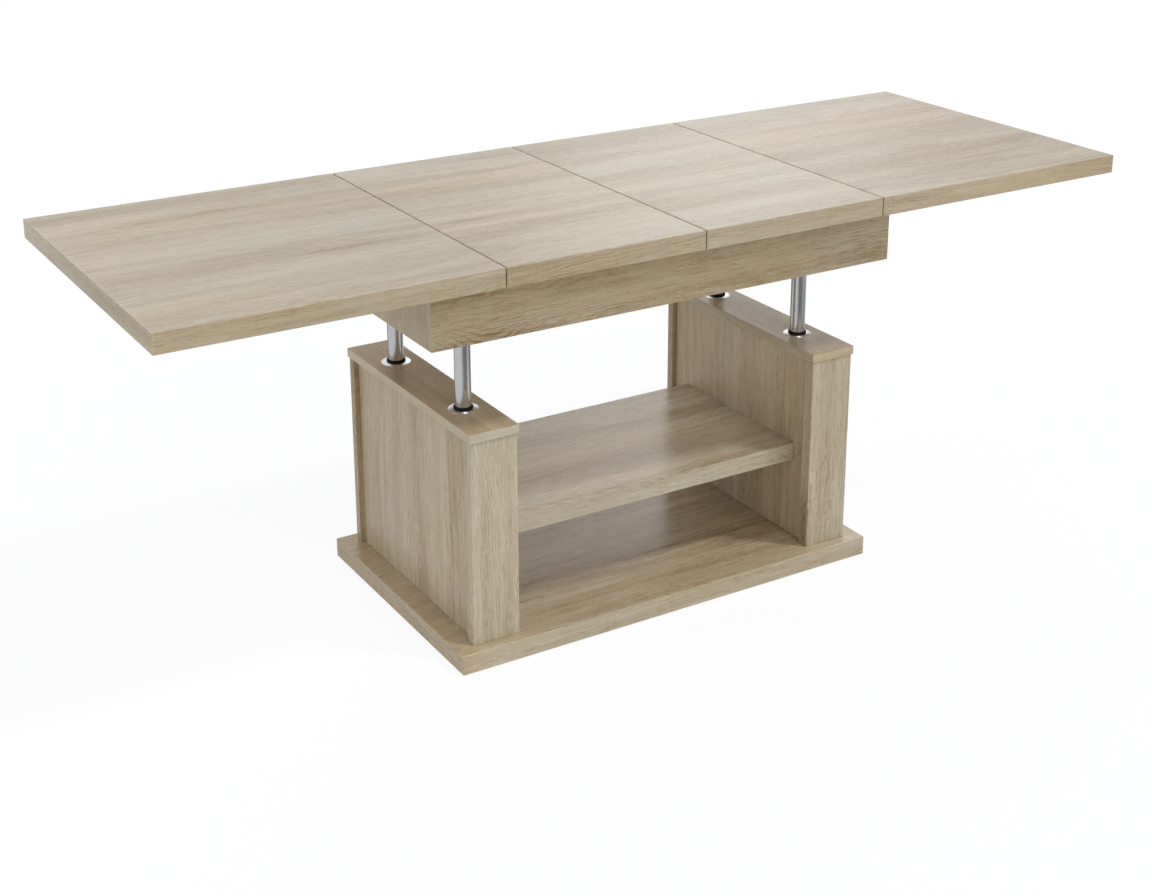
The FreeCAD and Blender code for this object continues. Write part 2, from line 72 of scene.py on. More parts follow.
def noise(tree, place, cells, detail=2.0, roughness=0.5):
    """Noise of about 0 to 1 with the given cells per metre along each axis."""
    item = shade(tree, "TexNoise")
    scaled = shade(tree, "VectorMath", place, cells, operation="MULTIPLY").outputs[0]
    wire(tree, item.inputs["Vector"], scaled)
    item.inputs["Scale"].default_value = 1.0
    item.inputs["Detail"].default_value = detail
    item.inputs["Roughness"].default_value = roughness
    return item.outputs[0]


def swing(tree, value, width):
    """Moves a noise of 0 to 1 so that it swings about 0, over the given width in all."""
    return maths(tree, "MULTIPLY_ADD", value, width, -0.5 * width)


def waves(tree, turns):
    """The sine of a value that counts whole turns."""
    return maths(tree, "SINE", maths(tree, "MULTIPLY", turns, math.tau))


def spread(tree, value, low, high, to_low=0.0, to_high=1.0, curve="LINEAR"):
    """Moves the range low to high of a value onto to_low to to_high, and holds it there beyond."""
    return shade(tree, "MapRange", value, low, high, to_low, to_high, interpolation_type=curve).outputs[0]


# A mix node's two inputs and its output, for vectors and for colours.
mix_sockets = {"VECTOR": (4, 5, 1), "RGBA": (6, 7, 2)}


def mixed(tree, factor, first, second, kind="RGBA", mode="MIX"):
    """Mixes two colours or two vectors by a factor."""
    first_socket, second_socket, result = mix_sockets[kind]
    item = shade(tree, "Mix", factor, data_type=kind, blend_type=mode)
    wire(tree, item.inputs[first_socket], first)
    wire(tree, item.inputs[second_socket], second)
    return item.outputs[result]


def ramped(tree, value, stops):
    """Colour read off a ramp of (place, red, green, blue) stops, in linear light."""
    item = shade(tree, "ValToRGB", value)
    ramp = item.color_ramp
    while len(ramp.elements) < len(stops):
        ramp.elements.new(1.0)
    for element, (place, red, green, blue) in zip(ramp.elements, stops):
        element.position = place
        element.color = (red, green, blue, 1.0)
    return item.outputs[0]


def blank_material(name):
    """A material with only its Principled shader, ready to be wired."""
    material = bpy.data.materials.new(name)
    material.use_nodes = True
    return material, material.node_tree, material.node_tree.nodes["Principled BSDF"]


def emboss(tree, shader, height, strength, depth, normal=None):
    """Raises a height pattern on the shader's surface, by a strength and a depth in metres."""
    bump = tree.nodes.new("ShaderNodeBump")
    bump.inputs["Strength"].default_value = strength
    bump.inputs["Distance"].default_value = depth
    wire(tree, bump.inputs["Height"], height)
    if normal is not None:
        wire(tree, bump.inputs["Normal"], normal)
    wire(tree, shader.inputs["Normal"], bump.outputs["Normal"])


def dress(names, material):
    """Gives each named CAD node its material."""
    for name in names:
        slots = nodes[name].data.materials
        slots.clear()
        slots.append(material)


def oak_print():
    """The printed oak, on places in metres whose X runs along the grain.

    Each layer is a noise drawn out along the grain: bands 80 mm wide, streaks of 20 mm, dashes of 5 mm,
    fibres of 2 mm and short dark pores, with a comb of wavy lines some 5 mm apart. Growth lines are the
    level lines of one slow field, which Flame lifts into nested arches. Tone is the weighted sum of the
    layers, and a ramp and a lean of hue colour it. Calm takes the bands and streaks away.
    """
    tree = bpy.data.node_groups.new("oak_print", "ShaderNodeTree")
    face = tree.interface
    face.new_socket("Place", in_out="INPUT", socket_type="NodeSocketVector")
    for name in ("Figure", "Streak", "Fine", "Lightness", "Flame", "Blush", "Calm"):
        face.new_socket(name, in_out="INPUT", socket_type="NodeSocketFloat")
    face.new_socket("Color", in_out="OUTPUT", socket_type="NodeSocketColor")
    face.new_socket("Roughness", in_out="OUTPUT", socket_type="NodeSocketFloat")
    face.new_socket("Height", in_out="OUTPUT", socket_type="NodeSocketFloat")
    entry = tree.nodes.new("NodeGroupInput").outputs
    leave = tree.nodes.new("NodeGroupOutput").inputs
    place = entry["Place"]

    drift_width, ripple_width = 0.070, 0.009
    drift = swing(tree, noise(tree, place, (1.3, 4.0, 4.0)), drift_width)
    ripple = swing(tree, noise(tree, place, (22.0, 60.0, 60.0)), ripple_width)
    bend = maths(tree, "ADD", drift, ripple)
    sway = shade(tree, "CombineXYZ", 0.0, bend, bend).outputs[0]
    grain = shade(tree, "VectorMath", place, sway, operation="ADD").outputs[0]

    bands = noise(tree, grain, (1.1, 12.0, 12.0), 3.0, 0.55)
    streaks = noise(tree, grain, (2.0, 50.0, 50.0), 3.0, 0.55)
    dashes = noise(tree, grain, (7.0, 210.0, 210.0))
    fibres = noise(tree, grain, (24.0, 480.0, 480.0), 2.0, 0.6)
    pores = spread(tree, noise(tree, grain, (48.0, 620.0, 620.0), 1.0), 0.58, 0.72)
    saw_marks = noise(tree, place, (190.0, 7.0, 7.0), 1.0)

    comb_lines, comb_wobble = 190.0, 3.0
    axes = shade(tree, "SeparateXYZ", grain).outputs
    across = maths(tree, "MULTIPLY", maths(tree, "ADD", axes[1], axes[2]), comb_lines)
    wobble = noise(tree, grain, (7.0, 45.0, 45.0))
    teeth = waves(tree, maths(tree, "MULTIPLY_ADD", wobble, comb_wobble, across))
    combed = spread(tree, noise(tree, grain, (4.0, 25.0, 25.0)), 0.30, 0.60)
    comb = maths(tree, "MULTIPLY", teeth, combed)

    growth_lines, growth_wobble, flame_lift = 80.0, 0.8, 0.09
    field = noise(tree, grain, (0.75, 5.5, 5.5), 1.0, 0.4)
    raised = maths(tree, "MULTIPLY_ADD", entry["Flame"], flame_lift, field)
    years = maths(tree, "MULTIPLY", raised, growth_lines)
    broken = noise(tree, grain, (14.0, 60.0, 60.0))
    growth = waves(tree, maths(tree, "MULTIPLY_ADD", broken, growth_wobble, years))
    lines = spread(tree, growth, -0.3, 1.0, curve="SMOOTHSTEP")
    chance = spread(tree, noise(tree, grain, (1.3, 7.0, 7.0)), 0.46, 0.70)
    where = maths(tree, "MAXIMUM", maths(tree, "MULTIPLY", chance, entry["Figure"]), entry["Flame"])
    figure = maths(tree, "MULTIPLY", lines, where)

    band_weight, dash_weight, fibre_weight = 0.95, 0.44, 0.50
    pore_weight, comb_weight, saw_weight = -0.18, 0.105, 0.10
    figure_weight, flame_weight = -0.32, -0.16
    middle_tone = 0.48
    coarse = maths(tree, "MULTIPLY_ADD", swing(tree, streaks, 1.0), entry["Streak"],
                   swing(tree, bands, band_weight))
    coarse = maths(tree, "MULTIPLY", coarse, maths(tree, "SUBTRACT", 1.0, entry["Calm"]))
    small = maths(tree, "ADD", swing(tree, dashes, dash_weight), swing(tree, fibres, fibre_weight))
    small = maths(tree, "MULTIPLY_ADD", pores, pore_weight, small)
    small = maths(tree, "MULTIPLY_ADD", comb, comb_weight, small)
    tone = maths(tree, "MULTIPLY_ADD", small, entry["Fine"], coarse)
    tone = maths(tree, "MULTIPLY_ADD", saw_marks, saw_weight, tone)
    tone = maths(tree, "MULTIPLY_ADD", figure, figure_weight, tone)
    tone = maths(tree, "MULTIPLY_ADD", entry["Flame"], flame_weight, tone)
    tone = maths(tree, "ADD", tone, maths(tree, "ADD", entry["Lightness"], middle_tone))
    print_colour = ramped(tree, tone, (
        (0.00, 0.255, 0.180, 0.102),
        (0.30, 0.392, 0.310, 0.202),
        (0.50, 0.486, 0.408, 0.286),
        (0.72, 0.552, 0.480, 0.358),
        (1.00, 0.640, 0.575, 0.458),
    ))

    hue_width, hue_start, blush_weight = 1.1, -0.05, 0.25
    cool_lean, warm_lean = (0.930, 1.015, 1.100, 1.0), (1.070, 0.985, 0.900, 1.0)
    hue = maths(tree, "MULTIPLY_ADD", noise(tree, grain, (0.9, 8.0, 8.0)), hue_width, hue_start)
    hue = maths(tree, "MULTIPLY_ADD", entry["Blush"], blush_weight, hue)
    leaning = mixed(tree, hue, cool_lean, warm_lean)
    wire(tree, leave["Color"], mixed(tree, 1.0, print_colour, leaning, mode="MULTIPLY"))

    smooth_blur, streak_blur, dash_height = 0.18, 0.16, 0.6
    wire(tree, leave["Roughness"], maths(tree, "MULTIPLY_ADD", streaks, streak_blur, smooth_blur))
    ridges = maths(tree, "MULTIPLY", dashes, dash_height)
    wire(tree, leave["Height"], maths(tree, "SUBTRACT", ridges, pores))
    return tree


oak_group = oak_print()


def soft_spots(tree, place, spots, total=0.0):
    """Adds soft long spots to a value, each a centre, three half sizes in metres and a strength.

    A spot has its full strength at the centre and fades smoothly to nothing at its half sizes.
    """
    for centre, half_sizes, strength in spots:
        away = shade(tree, "VectorMath", place, centre, operation="SUBTRACT").outputs[0]
        reach = shade(tree, "VectorMath", away, half_sizes, operation="DIVIDE").outputs[0]
        reach = shade(tree, "VectorMath", reach, operation="LENGTH").outputs["Value"]
        total = maths(tree, "ADD", spread(tree, reach, 0.0, 1.0, strength, 0.0, "SMOOTHSTEP"), total)
    return total


def oak(name, grain, thin, shift, figure=0.4, streak=0.8, fine=1.1, tone=(0.0, 0.0), flames_and_painted_light=(), blush=(),
        calm=(), edging=(0.0, 0.0, 0.0), gloss=0.5):
    """Oak laminate on a board with its grain along one axis and its thickness along another.

    The end faces wear strips whose grain runs along them. Shift picks the part of the print. Tone is
    lightness and warmth, and all the edge faces add the edging's own lightness, warmth and fineness;
    on some pieces the tone and the edging are also painted light and shade. Flames, blush and calm are
    soft spots of arched lines, of warm hue and of even colour. A flame spot also darkens the print, and
    one of negative strength lightens it; some flame spots are painted light and shade.
    """
    material, tree, shader = blank_material(name)
    coordinates = tree.nodes.new("ShaderNodeTexCoord").outputs
    own_point = coordinates["Object"]
    place = shade(tree, "SeparateXYZ", own_point).outputs
    facing = shade(tree, "SeparateXYZ", coordinates["Normal"]).outputs
    along, through = "xyz".index(grain), "xyz".index(thin)
    across = 3 - along - through
    board = shade(tree, "CombineXYZ", place[along], place[across], place[through]).outputs[0]
    strip = shade(tree, "CombineXYZ", place[across], place[through], place[along]).outputs[0]
    square_on = 0.7
    end_face = maths(tree, "GREATER_THAN", maths(tree, "ABSOLUTE", facing[along]), square_on)
    edge_face = maths(tree, "LESS_THAN", maths(tree, "ABSOLUTE", facing[through]), square_on)
    laid = mixed(tree, end_face, board, strip, "VECTOR")
    lightness, warmth, fineness = [
        maths(tree, "MULTIPLY_ADD", edge_face, more, value) for more, value in zip(edging, (*tone, fine))]
    look = {
        "Place": shade(tree, "VectorMath", laid, shift, operation="ADD").outputs[0],
        "Figure": figure,
        "Streak": streak,
        "Fine": fineness,
        "Lightness": lightness,
        "Flame": soft_spots(tree, own_point, flames_and_painted_light),
        "Blush": soft_spots(tree, own_point, blush, warmth),
        "Calm": soft_spots(tree, own_point, calm),
    }
    group = tree.nodes.new("ShaderNodeGroup")
    group.node_tree = oak_group
    for socket, value in look.items():
        wire(tree, group.inputs[socket], value)
    edge_rounding = 0.0010
    rounded = shade(tree, "Bevel", edge_rounding, samples=4).outputs[0]
    emboss(tree, shader, group.outputs["Height"], strength=0.12, depth=0.0004, normal=rounded)
    wire(tree, shader.inputs["Base Color"], group.outputs["Color"])
    wire(tree, shader.inputs["Roughness"], group.outputs["Roughness"])
    shader.inputs["IOR"].default_value = 1.5
    shader.inputs["Specular IOR Level"].default_value = gloss
    return material


# Half size of a spot that has no end along an axis.
endless = 9.0
base_flames = [
    ((0.050, -0.200, 0.040), (0.300, 0.016, 0.05), 0.5),
    ((0.120, -0.110, 0.040), (0.260, 0.020, 0.05), 0.6),
    ((-0.100, -0.050, 0.040), (0.240, 0.014, 0.05), 0.5),
    ((0.150, 0.030, 0.040), (0.280, 0.018, 0.05), 0.5),
    ((0.290, -0.120, 0.040), (0.220, 0.250, 0.05), 0.45),
    ((0.0, -0.275, 0.020), (endless, 0.016, endless), -0.6),
]
base_blush = [
    ((-0.450, 0.0, 0.040), (0.060, endless, endless), 1.6),
    ((0.330, 0.0, 0.040), (0.200, 0.5, endless), 0.8),
]
base_calm = [((-0.475, 0.0, 0.040), (0.110, endless, endless), 1.1)]
base_oak = oak("oak_base", "x", "z", (0.3, 0.9, 0.2), streak=0.6, tone=(-0.06, 1.1), flames_and_painted_light=base_flames,
               blush=base_blush, calm=base_calm, edging=(0.04, -1.7, 0.0))
dress(["base_plate"], base_oak)

# Floor glides: six black nylon discs nailed under the base plate, which keep its edge off the floor. The
# lower guide bushes in the pillars are moulded of the same plastic.


def own_place(tree):
    """The place on the piece itself, in metres."""
    return tree.nodes.new("ShaderNodeTexCoord").outputs["Object"]


def moulded_plastic(name, colour, roughness, gloss=0.5):
    """Dark moulded plastic: a fine even grain in the skin, with slow changes of colour and sheen."""
    material, tree, shader = blank_material(name)
    place = own_place(tree)
    skin = noise(tree, place, (2600.0, 2600.0, 2600.0))
    cloud = noise(tree, place, (90.0, 90.0, 90.0))
    lighter = tuple(1.6 * part for part in colour)
    wire(tree, shader.inputs["Base Color"], mixed(tree, cloud, (*colour, 1.0), (*lighter, 1.0)))
    wire(tree, shader.inputs["Roughness"], maths(tree, "MULTIPLY_ADD", cloud, 0.15, roughness))
    emboss(tree, shader, skin, strength=0.15, depth=0.0001)
    shader.inputs["Specular IOR Level"].default_value = gloss
    return material


black_plastic = moulded_plastic("black_plastic", (0.010, 0.010, 0.011), roughness=0.32)
dress(["floor_glides", "lower_guide_bushes"], black_plastic)

# Pillars: each is a hollow box of four laminate boards, the front and back boards standing proud of the
# two sides. The grain runs upright, and screws come up through the base plate into their lower edges.
# Painted shade: a dark spot with arched lines low on the inner edge of the right front board, where the
# lower bay lies in shade.
painted_foot_shade = [((0.329, -0.240, 0.060), (0.010, 0.030, 0.170), 1.3)]
# The first three spots are dark veins in the print of the sides. The last is painted light: it lightens
# the sides towards their tops, where more light falls into the bays.
side_veins_and_painted_light = [
    ((0.0, -0.150, 0.20), (endless, 0.014, 0.45), 0.8),
    ((0.0, -0.195, 0.20), (endless, 0.055, 0.80), 0.35),
    ((0.0, 0.130, 0.30), (endless, 0.012, 0.30), 0.5),
    ((0.0, 0.0, 0.42), (endless, 0.60, 0.24), -0.5),
]
board_look = dict(thin="y", streak=0.6, flames_and_painted_light=painted_foot_shade)
side_look = dict(thin="x", shift=(1.4, 0.7, 0.1), streak=0.7, fine=1.4, flames_and_painted_light=side_veins_and_painted_light)
pillar_looks = {
    "front_board": dict(board_look, shift=(0.2, 1.3, 0.6), fine=1.5, tone=(0.09, -0.7),
                        edging=(-0.05, 0.6, -0.5)),
    # The back boards' darker, warmer tone is painted shade for the shaded recess between their lips and
    # the sides, and it darkens the whole board.
    "back_board": dict(board_look, shift=(0.9, 0.4, 2.2), fine=0.8, tone=(-0.05, 1.0),
                       edging=(0.0, -0.4, 0.2)),
    "outer_side": dict(side_look, tone=(0.06, 0.0)),
    # The inner sides' lighter, warmer tone is painted light, for the light that reaches into the bays.
    "inner_side": dict(side_look, tone=(0.20, 1.0)),
}
for piece, look in pillar_looks.items():
    upright = oak("oak_pillar_" + piece, "z", **look)
    dress([side + "_pillar_" + piece for side in ("left", "right")], upright)

# Pillar caps: a thin laminate board closes each pillar and overhangs it a little. It is doweled down, and
# the two guide bushes of the pillar pass through it.
# Painted light: the left cap's back end is painted lighter where light from behind reaches it, and strips
# along the left cap's outer edge and the right cap's inner edge are painted lighter where they stand in
# shade.
left_cap_painted_light = [
    ((-0.426, 0.050, 0.443), (0.008, 0.500, endless), -0.6),
    ((-0.376, 0.300, 0.452), (endless, 0.250, endless), -3.4),
]
right_cap_painted_light = [((0.326, 0.100, 0.443), (0.008, 0.500, endless), -1.0)]
# The left cap's darker, warmer tone is painted shade under the apron. The edgings paint both caps' edge
# strips lighter and cooler, a painted sheen in place of the gloss the caps lack.
cap_looks = {
    "left": dict(shift=(0.1, 2.1, 0.9), tone=(-0.10, 1.5), flames_and_painted_light=left_cap_painted_light,
                 edging=(0.40, -2.6, 0.6), gloss=0.05),
    "right": dict(shift=(1.7, 1.1, 0.5), tone=(-0.02, 0.9), flames_and_painted_light=right_cap_painted_light,
                  edging=(0.17, -0.6, 0.6), gloss=0.2),
}
for side, look in cap_looks.items():
    cap_oak = oak("oak_" + side + "_cap", "y", "z", figure=0.2, streak=0.5, fine=0.5, **look)
    dress([side + "_pillar_cap"], cap_oak)

# Guide boards: bare particle board across the inside of each pillar, some way below its cap. Each holds
# the two lower bushes, so that the tubes can't rock.


def particle_board():
    """Pressed chips: cells of differing browns, with a rough broken skin."""
    material, tree, shader = blank_material("raw_particle_board")
    chips_per_metre = 420.0
    cells = shade(tree, "TexVoronoi", feature="F1")
    wire(tree, cells.inputs["Vector"], own_place(tree))
    cells.inputs["Scale"].default_value = chips_per_metre
    chip = shade(tree, "SeparateXYZ", cells.outputs["Color"]).outputs[0]
    browns = ((0.0, 0.22, 0.13, 0.065), (0.5, 0.42, 0.28, 0.15), (1.0, 0.60, 0.45, 0.27))
    wire(tree, shader.inputs["Base Color"], ramped(tree, chip, browns))
    wire(tree, shader.inputs["Roughness"], spread(tree, chip, 0.0, 1.0, 0.75, 0.92))
    emboss(tree, shader, cells.outputs["Distance"], strength=0.4, depth=0.0004)
    return material


dress(["left_guide_board", "right_guide_board"], particle_board())

# Upper guide bushes: black moulded bushes that line the caps for the tubes. Their collars show as black
# rings above the caps.


def new_piece(name, places, faces):
    """Puts a mesh of points and faces into the scene, as an object at the origin."""
    mesh = bpy.data.meshes.new(name)
    mesh.from_pydata(places.tolist(), [], faces.tolist())
    piece = bpy.data.objects.new(name, mesh)
    bpy.context.scene.collection.objects.link(piece)
    return piece


def turned(name, outline, centres, segments=96):
    """Rings turned about upright axes: x = cx + r cos a, y = cy + r sin a, z = h.

    The outline is a closed run of (r, h) points, walked with the solid on its left, and a goes once round
    in equal steps. One ring stands at each (cx, cy) centre, and all are one mesh.
    """
    sharp_angle = math.radians(38.0)
    outline = np.asarray(outline, float)
    points = len(outline)
    angle = np.linspace(0.0, math.tau, segments, endpoint=False)
    radius, height = outline[:, 0, None], outline[:, 1, None]
    ring = np.stack([radius * np.cos(angle), radius * np.sin(angle), height + 0.0 * angle], -1)
    ring = ring.reshape(-1, 3)
    row = np.arange(points)[:, None]
    column = np.arange(segments)[None, :]
    next_row, next_column = (row + 1) % points, (column + 1) % segments
    quads = np.stack([row * segments + column, row * segments + next_column,
                      next_row * segments + next_column, next_row * segments + column], -1).reshape(-1, 4)
    places = np.concatenate([ring + np.array([x, y, 0.0]) for x, y in centres])
    faces = np.concatenate([quads + step * len(ring) for step in range(len(centres))])
    piece = new_piece(name, places, faces)
    piece.data.shade_smooth()
    piece.data.set_sharp_from_angle(angle=sharp_angle)
    return piece


def quarter(centre_r, centre_h, radius, start, end, steps=6):
    """Points of an arc: r = centre_r + radius cos a, h = centre_h + radius sin a, with a in degrees."""
    angle = np.radians(np.linspace(start, end, steps + 1))
    return np.stack([centre_r + radius * np.cos(angle), centre_h + radius * np.sin(angle)], -1)


tube_names = [side + "_" + end + "_tube" for side in ("left", "right") for end in ("front", "back")]
tube_boxes = {name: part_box(name) for name in tube_names}
tube_centres = [tuple((0.5 * (low + high)).xy) for low, high in tube_boxes.values()]
tube_low, tube_high = tube_boxes[tube_names[0]]
tube_radius = 0.5 * (tube_high.x - tube_low.x)
cap_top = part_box("left_pillar_cap")[1].z
bush_low, bush_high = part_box("upper_guide_bushes")
left_x = tube_centres[0][0]
running_gap = 0.00005
bore = tube_radius + running_gap
collar_radius = left_x - bush_low.x
collar_band = 0.0015
bush_radius = collar_radius - collar_band
inner_lip = 0.0007
outer_lip = 2.0 * inner_lip
collar_outline = np.concatenate([
    [(bore, bush_low.z), (bush_radius, bush_low.z), (bush_radius, cap_top), (collar_radius, cap_top)],
    quarter(collar_radius - outer_lip, bush_high.z - outer_lip, outer_lip, 0, 90),
    quarter(bore + inner_lip, bush_high.z - inner_lip, inner_lip, 90, 180),
])
collars = turned("guide_bush_collars", collar_outline, tube_centres)
collar_plastic = moulded_plastic("black_collar", (0.004, 0.004, 0.0045), roughness=0.55, gloss=0.2)
collars.data.materials.append(collar_plastic)
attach(collars, "base")
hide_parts("upper_guide_bushes")

# Rosettes: bright pressed rings that lie on the caps round the collars, low domes that fall away from the
# collar to a thin rim.


def bright_plate(name, roughness, brushing):
    """Plated steel: a clear mirror with faint polishing lines round or along it, which vary its blur."""
    material, tree, shader = blank_material(name)
    place = own_place(tree)
    rub = noise(tree, place, brushing, 3.0, 0.6)
    haze = noise(tree, place, (14.0, 14.0, 9.0))
    dull, clear = (0.70, 0.71, 0.73, 1.0), (0.80, 0.80, 0.81, 1.0)
    blur = maths(tree, "MULTIPLY_ADD", haze, 0.06, roughness)
    wire(tree, shader.inputs["Roughness"], maths(tree, "MULTIPLY_ADD", rub, 0.05, blur))
    wire(tree, shader.inputs["Base Color"], mixed(tree, haze, dull, clear))
    shader.inputs["Metallic"].default_value = 1.0
    emboss(tree, shader, rub, strength=0.04, depth=0.0002)
    return material


rosette_low, rosette_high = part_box("rosettes")
rosette_outer = left_x - rosette_low.x
rosette_inner = collar_radius + running_gap
dome_share = 0.35
rosette_rise = dome_share * (rosette_high.z - cap_top)
rim = 0.0005
rosette_rim = quarter(rosette_outer - rim, cap_top, rim, start=0, end=76, steps=4)
rim_radius, rim_height = rosette_rim[-1]
# The dome's height over the rim is rise (1 - t to the power of its curve), with t from 1 at the rim to 0.
dome_curve = 1.6
dome_reach = np.linspace(1.0, 0.0, 9)[1:]
dome_radius = rosette_inner + (rim_radius - rosette_inner) * dome_reach
dome_height = rim_height + rosette_rise * (1.0 - dome_reach ** dome_curve)
rosette_outline = np.concatenate([
    [(rosette_inner, cap_top)],
    rosette_rim,
    np.stack([dome_radius, dome_height], -1),
])
rosettes = turned("bright_rosettes", rosette_outline, tube_centres)
rosette_plate = bright_plate("chrome_rosette", roughness=0.20, brushing=(500.0, 500.0, 120.0))
rosettes.data.materials.append(rosette_plate)
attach(rosettes, "base")
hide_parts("rosettes")

# Gas springs: a steel rod stands on a foot bolted to the base plate inside each tube, and a black
# cylinder slides on it with the tube. They carry the top and are wholly hidden in the pillars.


def zinc_plate(name, colour, roughness):
    """Zinc-plated steel: a grey metal with a soft spangle in its colour and blur."""
    material, tree, shader = blank_material(name)
    spangle = noise(tree, own_place(tree), (260.0, 260.0, 260.0), 3.0, 0.6)
    darker = tuple(0.78 * part for part in colour)
    wire(tree, shader.inputs["Base Color"], mixed(tree, spangle, (*darker, 1.0), (*colour, 1.0)))
    wire(tree, shader.inputs["Roughness"], maths(tree, "MULTIPLY_ADD", spangle, 0.2, roughness))
    shader.inputs["Metallic"].default_value = 1.0
    return material


zinc_steel = zinc_plate("zinc_steel", (0.62, 0.62, 0.60), roughness=0.25)
dress(["gas_spring_rods", "gas_spring_feet", "spring_foot_bolts", "spring_plugs"], zinc_steel)
spring_paint = moulded_plastic("black_spring_paint", (0.014, 0.014, 0.015), roughness=0.18)
dress(["gas_spring_cylinders"], spring_paint)

# Shelf: a 36 mm laminate board between the pillars, held by dowels and by cams that draw on bolts in the
# inner sides. Its front strip is painted darker, with arched lines, as painted shade.


def beech():
    """Turned beech: pale pinkish wood with short darker flecks along its grain."""
    material, tree, shader = blank_material("beech")
    flecks = noise(tree, own_place(tree), (160.0, 500.0, 500.0), 3.0, 0.6)
    browns = ((0.3, 0.40, 0.22, 0.10), (0.5, 0.55, 0.35, 0.18), (0.7, 0.63, 0.43, 0.24))
    wire(tree, shader.inputs["Base Color"], ramped(tree, flecks, browns))
    wire(tree, shader.inputs["Roughness"], maths(tree, "MULTIPLY_ADD", flecks, 0.2, 0.5))
    return material


beech_wood = beech()
shelf_front_painted_shade = [((0.0, -0.189, 0.262), (endless, 0.085, 0.032), 2.4)]
shelf_oak = oak("oak_shelf", "x", "z", (1.1, 0.2, 1.5), streak=0.7, flames_and_painted_light=shelf_front_painted_shade,
                edging=(0.24, -0.9, 0.0))
dress(["shelf"], shelf_oak)
dress(["shelf_dowels", "cap_dowels"], beech_wood)
dress(["shelf_cams", "shelf_cam_bolts", "pillar_base_screws"], zinc_steel)

# Lift tubes: four bright plated steel tubes with lightly bevelled ends. They hang from flanges screwed
# under the apron and slide in the bushes.
wall = 0.0015
bevel = 0.0004
tube_inner = tube_radius - wall
for name, centre in zip(tube_names, tube_centres):
    low, high = tube_boxes[name]
    tube_outline = [
        (tube_inner, low.z + bevel),
        (tube_inner + bevel, low.z),
        (tube_radius - bevel, low.z),
        (tube_radius, low.z + bevel),
        (tube_radius, high.z - bevel),
        (tube_radius - bevel, high.z),
        (tube_inner + bevel, high.z),
        (tube_inner, high.z - bevel),
    ]
    tube = turned("plated_" + name, tube_outline, [centre], segments=128)
    tube_plate = bright_plate("chrome_" + name, roughness=0.17, brushing=(900.0, 900.0, 6.0))
    tube.data.materials.append(tube_plate)
    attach(tube, "lift_frame")
    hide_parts(name)
dress(["tube_flanges", "flange_screws"], zinc_steel)

# Apron: a box of four laminate boards with a thin floor, doweled at its corners over glued beech blocks.
# It carries the tubes below and the rail channels above.
apron_arches = [
    ((-0.385, -0.259, 0.622), (0.16, endless, 0.055), 1.0),
    ((0.36, -0.259, 0.67), (0.28, endless, 0.12), -0.4),
]
long_board = dict(grain="x", thin="y", edging=(0.02, 0.0, -0.9))
short_end = dict(grain="z", thin="x", figure=0.2, fine=0.7)
apron_looks = {
    "front_board": dict(long_board, shift=(2.3, 0.35, 0.8), figure=0.25, streak=0.45, fine=1.3,
                        tone=(-0.02, 0.1), flames_and_painted_light=apron_arches),
    "back_board": dict(long_board, shift=(0.6, 1.9, 0.3), figure=0.8, streak=0.6, fine=1.6),
    "left_end": dict(short_end, shift=(0.4, 0.2, 1.1), streak=0.4, tone=(0.11, 0.0)),
    "right_end": dict(short_end, shift=(0.8, 1.2, 0.6), streak=0.5),
    "floor": dict(grain="x", thin="z", shift=(1.9, 1.4, 0.7)),
}
for piece, look in apron_looks.items():
    place_word = piece.split("_")[0]
    dress(["apron_" + piece], oak("oak_apron_" + place_word, **look))
dress(["apron_dowels", "corner_blocks"], beech_wood)
dress(["corner_block_screws"], zinc_steel)

# Rail channels: extruded aluminium strips with two slots each, screwed along the apron's front and back
# boards. The T rails of the end panels run in them.


def extruded_aluminium():
    """Extruded aluminium: pale metal with die lines drawn along its length."""
    material, tree, shader = blank_material("extruded_aluminium")
    die = noise(tree, own_place(tree), (4.0, 1500.0, 1500.0), 3.0, 0.6)
    dull, clear = (0.60, 0.61, 0.62, 1.0), (0.76, 0.77, 0.78, 1.0)
    wire(tree, shader.inputs["Base Color"], mixed(tree, die, dull, clear))
    wire(tree, shader.inputs["Roughness"], maths(tree, "MULTIPLY_ADD", die, 0.25, 0.22))
    shader.inputs["Metallic"].default_value = 1.0
    return material


aluminium = extruded_aluminium()
dress(["front_rail_channel", "back_rail_channel", "left_rails", "right_rails"], aluminium)
dress(["channel_screws", "rail_stop_screws", "left_rail_screws", "right_rail_screws"], zinc_steel)

# Table top: two end panels on rails and two loose inserts between them, all 36 mm laminate boards with
# the grain along the table. Beech pegs under the inserts drop into holes in the apron's edges.
left_flames = [
    ((-0.690, 0.217, 0.780), (0.085, 0.012, 0.05), 1.0),
    ((-0.760, 0.205, 0.780), (0.260, 0.030, 0.05), 0.3),
    ((-0.547, -0.110, 0.780), (0.170, 0.013, 0.05), 0.9),
    ((-0.940, -0.215, 0.780), (0.130, 0.010, 0.05), 0.6),
    ((-1.000, 0.0, 0.750), (0.008, endless, endless), -0.9),
]
left_insert_flames = [
    ((-0.330, -0.075, 0.780), (0.085, 0.014, 0.05), 0.9),
    ((-0.120, 0.200, 0.780), (0.130, 0.010, 0.05), 0.5),
]
right_flames = [
    ((0.715, -0.090, 0.780), (0.110, 0.018, 0.05), 0.9),
    ((0.800, -0.210, 0.780), (0.220, 0.012, 0.05), 0.5),
]
left_blush = [
    ((-0.900, -0.260, 0.780), (0.250, 0.070, 0.05), 1.2),
    ((-0.780, 0.200, 0.780), (0.300, 0.080, 0.05), 1.2),
    ((-0.640, 0.000, 0.780), (0.350, 0.090, 0.05), -0.9),
]
left_insert_blush = [((-0.230, 0.160, 0.780), (0.300, 0.070, 0.05), 1.2)]
right_blush = [((0.900, 0.170, 0.780), (0.250, 0.060, 0.05), 1.0)]


